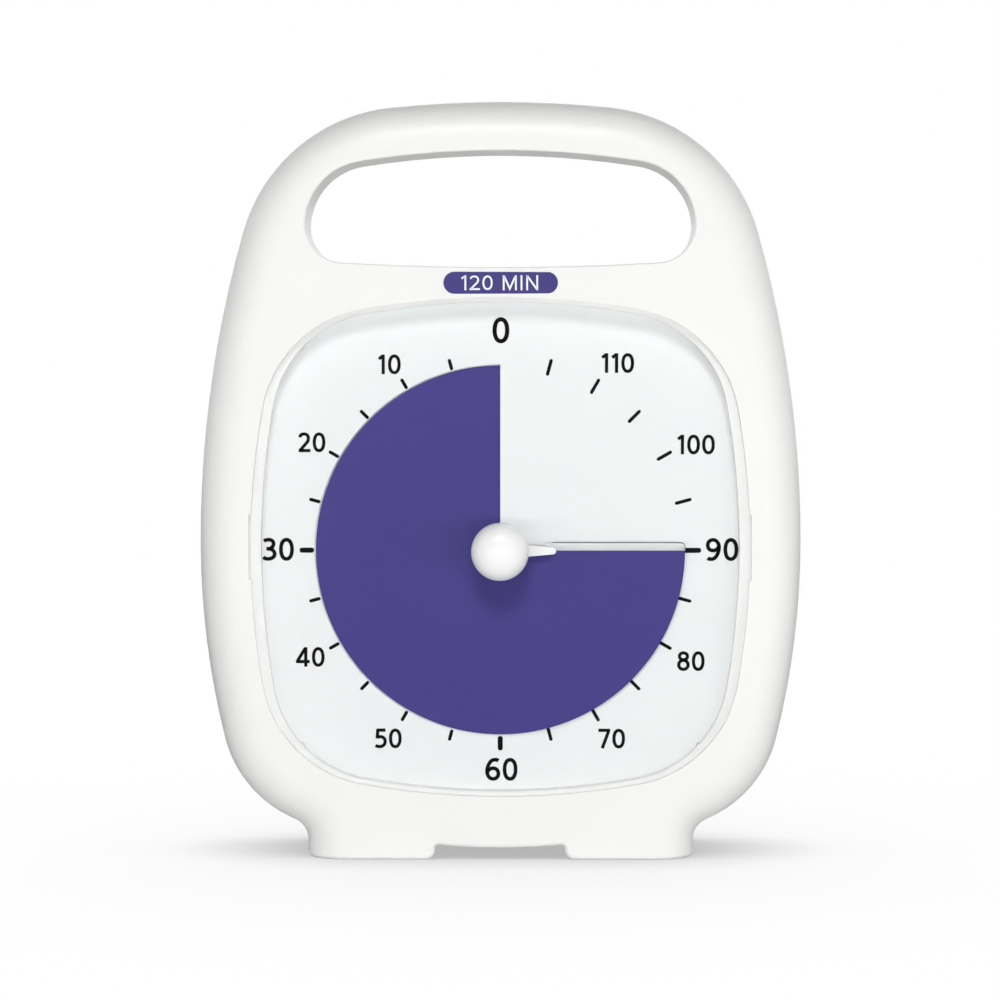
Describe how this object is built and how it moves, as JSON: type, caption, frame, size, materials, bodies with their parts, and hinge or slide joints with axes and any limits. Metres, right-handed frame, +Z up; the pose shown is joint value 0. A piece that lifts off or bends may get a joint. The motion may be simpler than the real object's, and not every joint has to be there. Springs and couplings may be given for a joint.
{
  "type": "visual countdown timer",
  "caption": "Free-standing visual countdown timer with carrying handle, numbered dial behind a clear lens, colour disc and centre knob.",
  "frame": {"origin": "centre of the bounding box on the surface that the feet stand on", "axes": "+Z up, -Y out of the dial towards the viewer, +X to the right as seen from the front"},
  "size_m": [0.14, 0.0478, 0.1756],
  "materials": {
    "shell_white": "moulded ABS, satin gloss",
    "lens_clear": "clear moulded acrylic, polished",
    "dial_white": "matte white printed plastic",
    "disc_purple": "matte purple sheet",
    "strip_clear": "clear sheet",
    "knob_white": "moulded, glossy",
    "brass": "turned",
    "steel": "bright",
    "inner_black": "moulded",
    "gear_white": "moulded acetal",
    "board_green": "glass-epoxy board",
    "copper": "enamelled copper winding",
    "cell_jacket": "shrink jacket"
  },
  "bodies": {
    "case": {"front_shell": "shell_white", "rear_shell": "shell_white", "case_screws": "steel", "clear_lens": "lens_clear", "dial_plate": "dial_white", "rim_screws": "steel", "chassis_plate": "inner_black", "chassis_screws": "steel", "threaded_bushing": "brass", "hex_nut": "brass", "movement_base": "inner_black", "movement_cover": "inner_black", "stator": "steel", "coil_core": "steel", "motor_coil": "copper", "movement_board": "board_green", "quartz_crystal": "steel", "aa_cell": "cell_jacket", "negative_spring": "steel", "positive_contact": "steel", "negative_contact": "steel", "potentiometer": "steel", "sound_board": "board_green", "sound_chip": "inner_black", "board_screws": "steel", "speaker": "inner_black"},
    "knob": {"setting_knob": "knob_white", "setting_arbor": "steel", "clutch_spring": "brass"},
    "disc": {"timer_disc": "disc_purple", "disc_edge_strip": "strip_clear", "pointer_hub": "knob_white"},
    "volume": {"volume_dial": "knob_white", "volume_shaft": "knob_white"},
    "door": {"battery_door": "shell_white"},
    "drive_wheel": {"drive_wheel": "gear_white"},
    "hour_wheel": {"hour_wheel": "gear_white"},
    "middle_wheel": {"middle_wheel": "gear_white"},
    "motor_wheel": {"motor_wheel": "gear_white"},
    "rotor": {"rotor": "steel"}
  },
  "joints": [
    {"name": "knob_turn", "type": "hinge", "parent": "case", "child": "knob", "pos_m": [0, -0.02005, 0.0715], "axis": [0, -1, 0], "range_deg": [-270, 90]},
    {"name": "disc_ride", "type": "slide", "parent": "knob", "child": "disc", "axis": [0, -1, 0], "range_m": [-0.00196, 0.00066]},
    {"name": "volume_turn", "type": "hinge", "parent": "case", "child": "volume", "pos_m": [0.046, 0.02265, 0.078], "axis": [0, 1, 0], "range_deg": [-135, 135]},
    {"name": "door_open", "type": "hinge", "parent": "case", "child": "door", "pos_m": [0, 0.02295, 0.0155], "axis": [-1, 0, 0], "range_deg": [0, 85]},
    {"name": "drive_wheel_turn", "type": "hinge", "parent": "case", "child": "drive_wheel", "pos_m": [0, 0.00395, 0.0715], "axis": [0, -1, 0], "continuous": true},
    {"name": "hour_wheel_turn", "type": "hinge", "parent": "case", "child": "hour_wheel", "pos_m": [-0.00516, 0.00395, 0.06413], "axis": [0, -1, 0], "continuous": true},
    {"name": "middle_wheel_turn", "type": "hinge", "parent": "case", "child": "middle_wheel", "pos_m": [-0.01386, 0.00395, 0.06646], "axis": [0, -1, 0], "continuous": true},
    {"name": "motor_wheel_turn", "type": "hinge", "parent": "case", "child": "motor_wheel", "pos_m": [-0.0146, 0.00395, 0.07492], "axis": [0, -1, 0], "continuous": true},
    {"name": "rotor_turn", "type": "hinge", "parent": "case", "child": "rotor", "pos_m": [-0.00661, 0.00395, 0.07783], "axis": [0, -1, 0], "continuous": true}
  ],
  "couplings": [
    {"joint": "disc_ride", "follows": "knob_turn", "m_per_rad": 0.0004138},
    {"joint": "motor_wheel_turn", "follows": "middle_wheel_turn", "ratio": -7.5},
    {"joint": "rotor_turn", "follows": "middle_wheel_turn", "ratio": 56.25},
    {"joint": "hour_wheel_turn", "follows": "middle_wheel_turn", "ratio": -0.125},
    {"joint": "drive_wheel_turn", "follows": "middle_wheel_turn", "ratio": 0.015625}
  ]
}
